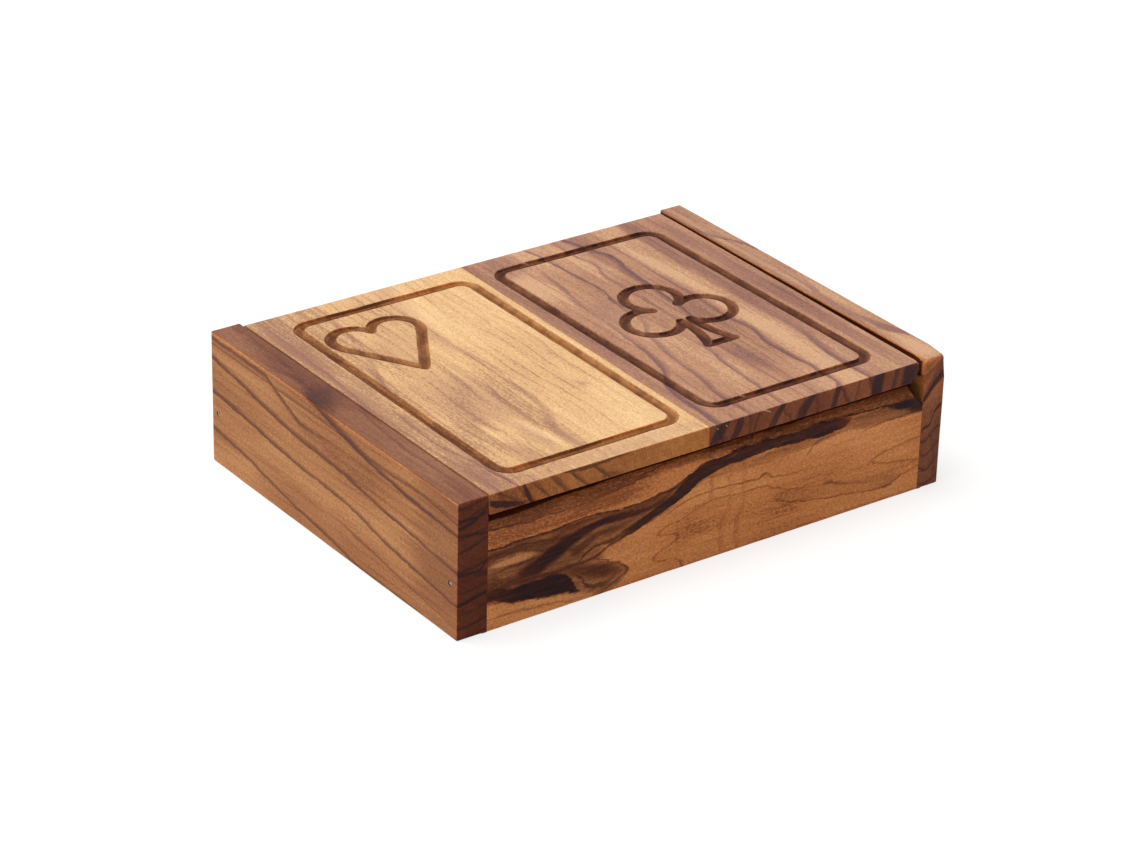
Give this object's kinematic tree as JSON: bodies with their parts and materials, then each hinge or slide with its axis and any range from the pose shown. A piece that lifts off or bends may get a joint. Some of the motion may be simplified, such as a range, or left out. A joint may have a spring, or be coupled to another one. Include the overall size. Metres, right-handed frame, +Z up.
{
  "type": "playing card box",
  "caption": "Flat wooden box with two wells for decks of playing cards and a flush lid on hidden hinge pins, routed with card outlines, a heart and a club.",
  "frame": {"origin": "middle of the box's outline, on the surface it stands on", "axes": "+X to the right along the box's length, +Y from the front to the back, +Z up"},
  "size_m": [0.16, 0.12, 0.0395],
  "materials": {
    "side_wall_wood": "oiled olive wood, warm brown",
    "end_wall_wood": "oiled olive wood, golden brown with dark veins",
    "floor_wood": "sanded olive wood, left bare",
    "pale_lid_wood": "oiled olive wood, pale golden, satin",
    "dark_lid_wood": "oiled olive wood, reddish with purple-brown veins, satin",
    "steel": "plain drawn steel wire"
  },
  "bodies": {
    "case": {"left_wall": "side_wall_wood", "right_wall": "side_wall_wood", "front_wall": "end_wall_wood", "back_wall": "end_wall_wood", "floor_board": "floor_wood", "divider": "floor_wood", "corner_brads": "steel"},
    "lid": {"lid_board_heart": "pale_lid_wood", "lid_board_club": "dark_lid_wood", "hinge_pin_left": "steel", "hinge_pin_right": "steel"}
  },
  "joints": [
    {"name": "lid_hinge", "type": "hinge", "parent": "case", "child": "lid", "pos_m": [0, 0.05705, 0.03655], "axis": [-1, 0, 0], "range_deg": [0, 105]}
  ]
}
